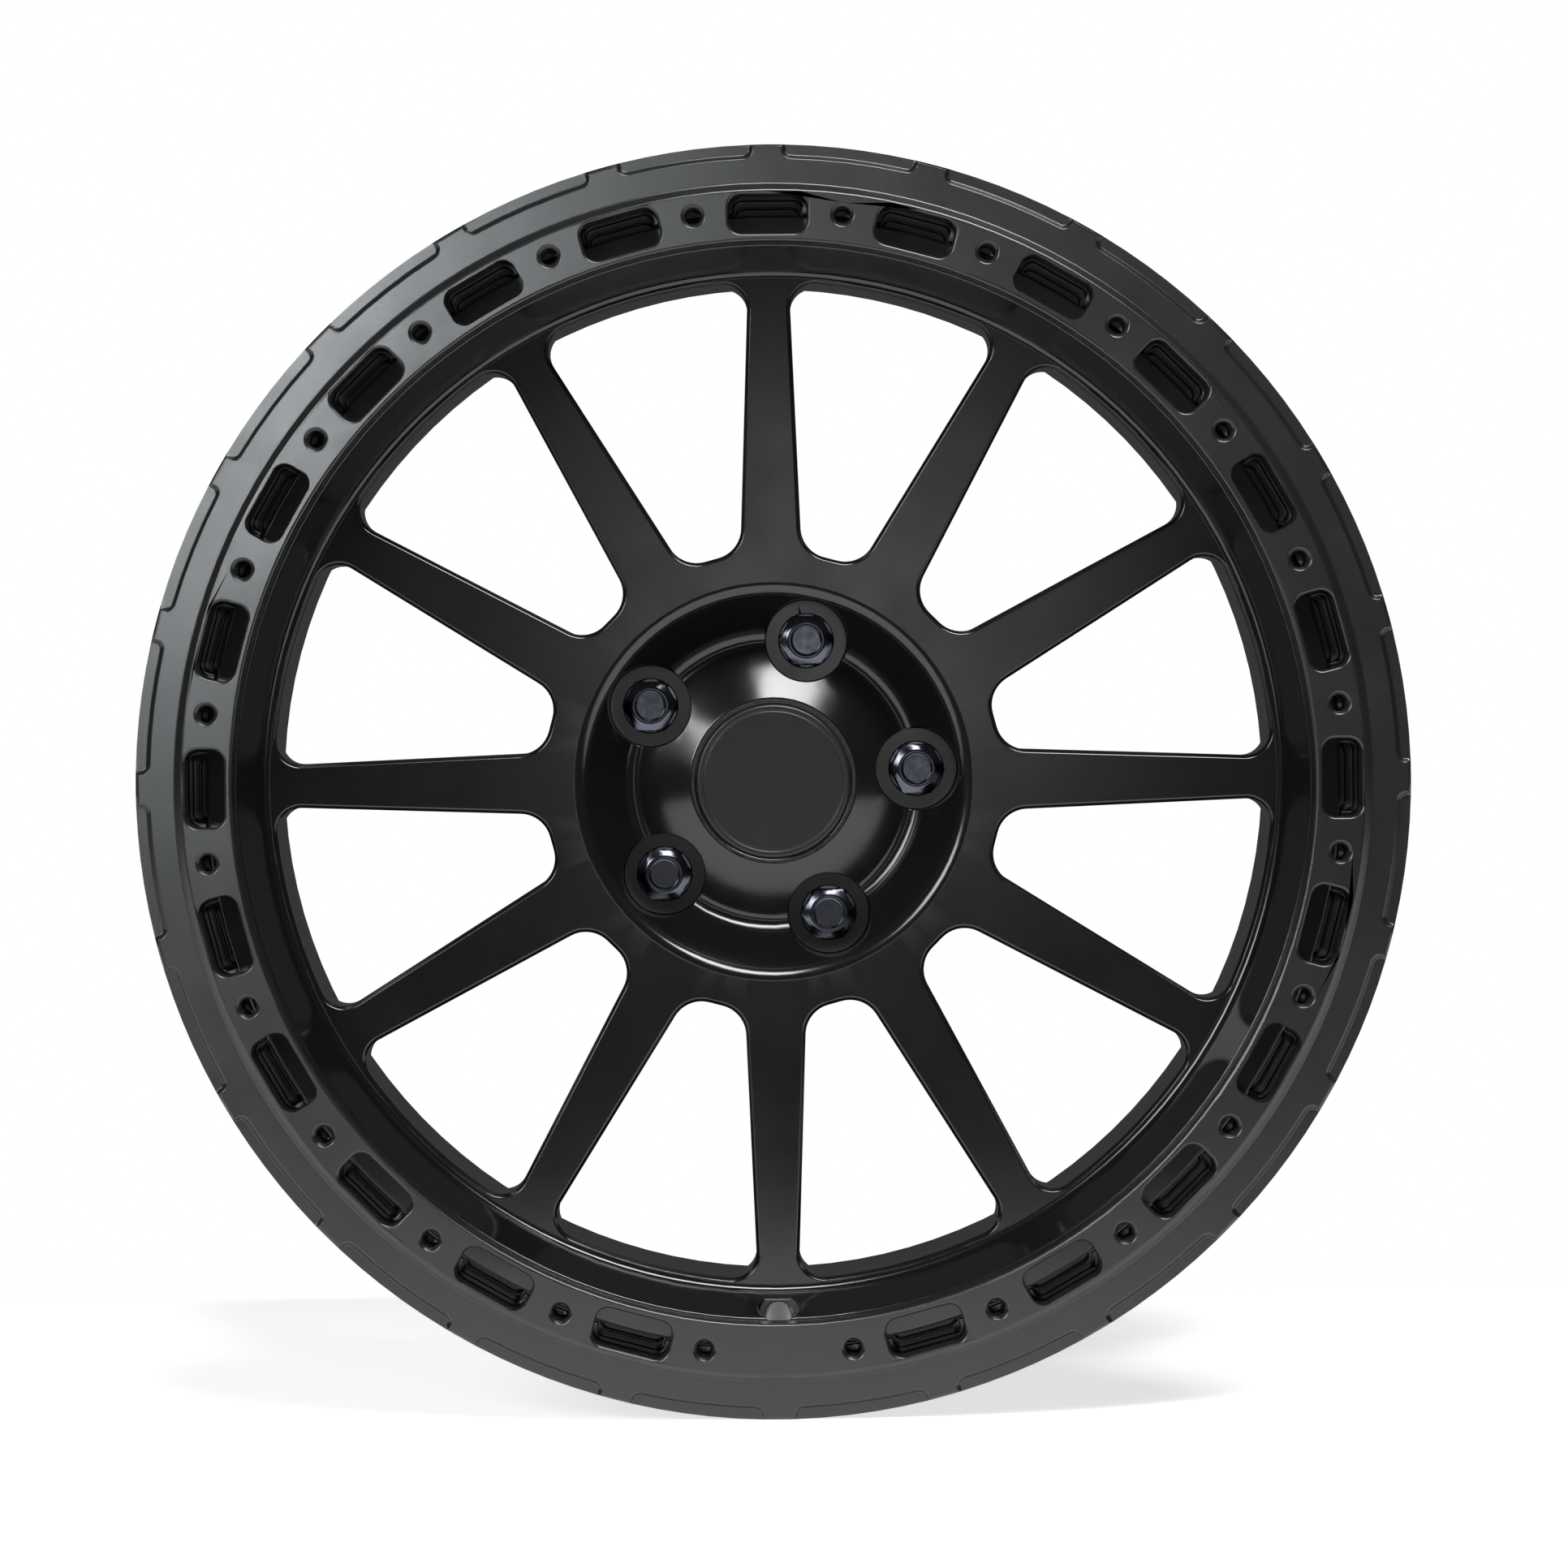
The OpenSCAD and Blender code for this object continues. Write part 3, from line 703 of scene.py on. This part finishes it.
def set_world():
    """White backdrop to the camera and through glass, faint in gloss behind the wheel, and a dim room."""
    room_light, wide, gloss_share = 0.05, 0.35, 0.02
    world = bpy.data.worlds.new("studio")
    bpy.context.scene.world = world
    world.use_nodes = True
    tree = world.node_tree
    tree.nodes.clear()
    out = tree.nodes.new("ShaderNodeOutputWorld")
    path = tree.nodes.new("ShaderNodeLightPath")
    white = tree.nodes.new("ShaderNodeBackground")
    white.inputs["Color"].default_value = (1, 1, 1, 1)
    room = tree.nodes.new("ShaderNodeBackground")
    room.inputs["Color"].default_value = (0.9, 0.95, 1, 1)
    room.inputs["Strength"].default_value = room_light
    place = tree.nodes.new("ShaderNodeTexCoord")
    split = tree.nodes.new("ShaderNodeSeparateXYZ")
    behind = tree.nodes.new("ShaderNodeMapRange")
    behind.inputs["From Min"].default_value = 0.0
    behind.inputs["From Max"].default_value = wide
    behind.inputs["To Max"].default_value = gloss_share
    glossy = tree.nodes.new("ShaderNodeMath")
    glossy.operation = "MULTIPLY"
    seen = tree.nodes.new("ShaderNodeMath")
    seen.operation = "MAXIMUM"
    clear = tree.nodes.new("ShaderNodeMath")
    clear.operation = "MAXIMUM"
    mix = tree.nodes.new("ShaderNodeMixShader")
    tree.links.new(place.outputs["Generated"], split.inputs["Vector"])
    tree.links.new(split.outputs["Y"], behind.inputs["Value"])
    tree.links.new(behind.outputs["Result"], glossy.inputs[0])
    tree.links.new(path.outputs["Is Glossy Ray"], glossy.inputs[1])
    tree.links.new(glossy.outputs["Value"], seen.inputs[0])
    tree.links.new(path.outputs["Is Camera Ray"], seen.inputs[1])
    tree.links.new(seen.outputs["Value"], clear.inputs[0])
    tree.links.new(path.outputs["Is Transmission Ray"], clear.inputs[1])
    tree.links.new(clear.outputs["Value"], mix.inputs["Fac"])
    tree.links.new(room.outputs["Background"], mix.inputs[1])
    tree.links.new(white.outputs["Background"], mix.inputs[2])
    tree.links.new(mix.outputs["Shader"], out.inputs["Surface"])


def floor_material():
    """White floor that keeps the shadow, and that the camera and gloss see lifted towards white."""
    lift_strength = 0.72
    material, tree, shader = new_material("floor_white")
    out = tree.nodes["Material Output"]
    path = tree.nodes.new("ShaderNodeLightPath")
    seen = tree.nodes.new("ShaderNodeMath")
    seen.operation = "MAXIMUM"
    lift = tree.nodes.new("ShaderNodeEmission")
    lift.inputs["Color"].default_value = (1, 1, 1, 1)
    strength = tree.nodes.new("ShaderNodeMath")
    strength.operation = "MULTIPLY"
    strength.inputs[1].default_value = lift_strength
    both = tree.nodes.new("ShaderNodeAddShader")
    shader.inputs["Base Color"].default_value = (0.82, 0.82, 0.83, 1)
    shader.inputs["Roughness"].default_value = 0.9
    shader.inputs["Specular IOR Level"].default_value = 0.0
    tree.links.new(path.outputs["Is Camera Ray"], seen.inputs[0])
    tree.links.new(path.outputs["Is Glossy Ray"], seen.inputs[1])
    tree.links.new(seen.outputs["Value"], strength.inputs[0])
    tree.links.new(strength.outputs["Value"], lift.inputs["Strength"])
    tree.links.new(shader.outputs["BSDF"], both.inputs[0])
    tree.links.new(lift.outputs["Emission"], both.inputs[1])
    tree.links.new(both.outputs["Shader"], out.inputs["Surface"])
    return material


class WHEEL_OT_set_stage(bpy.types.Operator):
    """Pale floor, softboxes, white backdrop and the camera"""

    bl_idname = "wheel.set_stage"
    bl_label = "Set the stage"

    def execute(self, context):
        studio = values("wheel_studio")
        low = CAD_BOUNDS[0]
        half, front, back, level = 2.5, -0.9, 0.4, low[2]
        mesh = bpy.data.meshes.new("floor")
        corners = [(-half, front, level), (half, front, level), (half, back, level), (-half, back, level)]
        mesh.from_pydata(corners, [], [(0, 1, 2, 3)])
        mesh.materials.append(floor_material())
        floor = bpy.data.objects.new("floor", mesh)
        bpy.context.scene.collection.objects.link(floor)
        set_world()
        context.scene.view_settings.view_transform = "Standard"
        middle = (0, low[1], 0)
        key_place, key_size = (-1.6, -1.95, 0.95), (1.0, 1.0)
        top_place, top_size = (0.42, -1.15, 1.80), (1.4, 0.75)
        side_place, side_size, cool = (-0.53, -2.60, 0.39), (0.4, 0.4), (0.92, 0.98, 1)
        front_place, front_size = (0.06, -3.3, 0.12), (0.4, 0.4)
        add_lamp("key_softbox", key_place, middle, key_size, studio.key_power)
        add_lamp("top_softbox", top_place, middle, top_size, studio.top_power)
        ring_lamp = add_lamp("side_softbox", side_place, middle, side_size, studio.side_power, cool)
        ring_lamp.light_linking.receiver_collection = bpy.data.collections.new(RING_LIT)
        add_lamp("front_softbox", front_place, middle, front_size, studio.front_power)
        lens = bpy.data.cameras.new("camera")
        camera = bpy.data.objects.new("camera", lens)
        bpy.context.scene.collection.objects.link(camera)
        lens.lens = studio.lens
        lens.sensor_width = 36
        lens.shift_x = -CENTRE_RIGHT / PHOTO_SIDE
        lens.shift_y = CENTRE_BELOW / PHOTO_SIDE
        lens.clip_end = 50
        aim = Vector((0, -math.cos(studio.elevation), math.sin(studio.elevation)))
        camera.location = Vector(middle) + aim * studio.distance
        turn = (-aim).to_track_quat("-Z", "Y").to_matrix()
        camera.rotation_euler = (turn @ Matrix.Rotation(studio.roll, 3, "Z")).to_euler()
        context.scene.camera = camera
        return {"FINISHED"}


class WHEEL_PT_parts(bpy.types.Panel):
    """Panel that lists the wheel's steps"""

    bl_idname = "WHEEL_PT_parts"
    bl_label = "Beadlock wheel"
    bl_space_type = "VIEW_3D"
    bl_region_type = "UI"
    bl_category = "Wheel"

    def draw(self, context):
        for step in STEPS:
            self.layout.operator(step.bl_idname)


STEPS = (
    WHEEL_OT_set_stage,
    WHEEL_OT_dress_body,
    WHEEL_OT_dress_ring,
    WHEEL_OT_dress_cap,
    WHEEL_OT_make_bolts,
)
GROUPS = {
    "wheel_finish": WheelFinish,
    "wheel_edges": EdgeForm,
    "wheel_bolts": BoltForm,
    "wheel_studio": StudioForm,
}


def register():
    for group in GROUPS.values():
        bpy.utils.register_class(group)
    for step in STEPS:
        bpy.utils.register_class(step)
    bpy.utils.register_class(WHEEL_PT_parts)
    for name, group in GROUPS.items():
        setattr(bpy.types.Scene, name, PointerProperty(type=group))


def unregister():
    for name in GROUPS:
        delattr(bpy.types.Scene, name)
    bpy.utils.unregister_class(WHEEL_PT_parts)
    for step in reversed(STEPS):
        bpy.utils.unregister_class(step)
    for group in reversed(list(GROUPS.values())):
        bpy.utils.unregister_class(group)


def main():
    register()
    bpy.ops.wheel.set_stage()
    bpy.ops.wheel.dress_body()
    bpy.ops.wheel.dress_ring()
    bpy.ops.wheel.dress_cap()
    bpy.ops.wheel.make_bolts()


if __name__ == "__main__":
    main()
